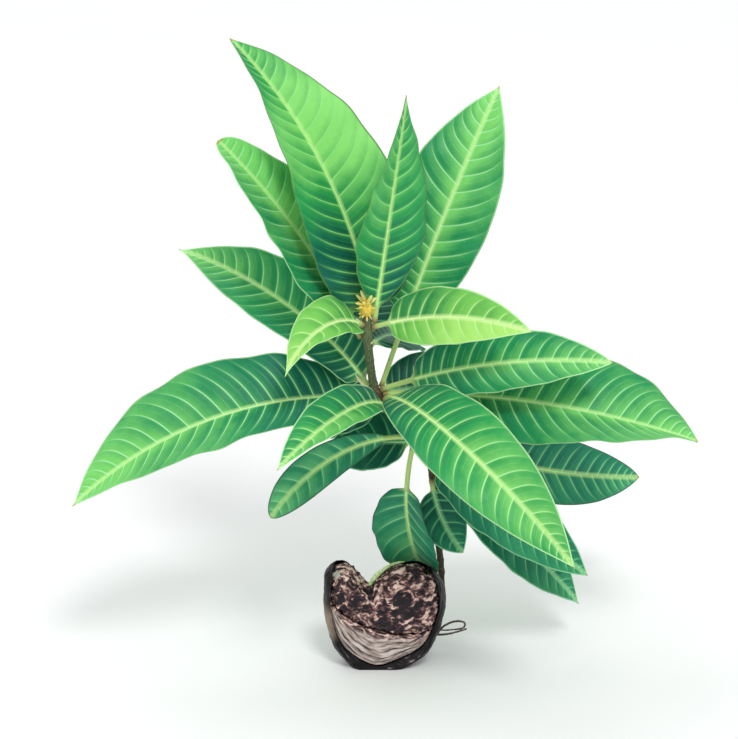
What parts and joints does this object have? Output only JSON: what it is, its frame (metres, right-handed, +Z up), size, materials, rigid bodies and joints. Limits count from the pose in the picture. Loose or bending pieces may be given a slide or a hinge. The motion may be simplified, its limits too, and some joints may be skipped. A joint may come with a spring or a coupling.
{
  "type": "mango tree sapling",
  "caption": "Young mango plant: a leaning stem with whorls of long veined leaves and a terminal bud, standing upright on the opened stone it sprouted from.",
  "frame": {"origin": "on the flat underside of the stone's husk, below its middle", "axes": "+Z up, +X to the right of the stone's open face, -Y the way the open face looks"},
  "size_m": [0.3576, 0.1901, 0.3664],
  "materials": {
    "husk": "rough, fibrous, dark",
    "kernel_dark": "dry, mottled",
    "kernel_pale": "dry, ridged",
    "bark": "dull bark",
    "bud": "satin",
    "root": "dry",
    "leaf": "leathery, slightly glossy",
    "young_leaf": "leathery, slightly glossy"
  },
  "bodies": {
    "root": {"seed_husk": "husk", "cotyledon_upper": "kernel_dark", "cotyledon_lower": "kernel_pale", "stem": "bark", "terminal_bud": "bud", "root_strand_upper": "root", "root_strand_lower": "root", "leaf_crown_left": "leaf", "leaf_crown_centre": "leaf", "leaf_crown_back_left": "leaf", "leaf_young_left": "young_leaf", "leaf_young_right": "young_leaf", "leaf_upper_back": "leaf", "leaf_back_high": "leaf", "leaf_crown_right": "leaf", "leaf_upper_left": "leaf", "leaf_wide_left": "leaf", "leaf_upper_right": "leaf", "leaf_wide_right": "leaf", "leaf_front_right": "leaf", "leaf_front_left": "leaf", "leaf_back_left": "leaf", "leaf_back_right": "leaf", "leaf_low_left": "leaf", "leaf_low_back_left": "leaf", "leaf_hanging": "leaf", "leaf_low_right": "leaf", "leaf_behind_right": "leaf", "leaf_over_stem": "leaf", "leaf_lowest_right": "leaf"}
  },
  "joints": []
}
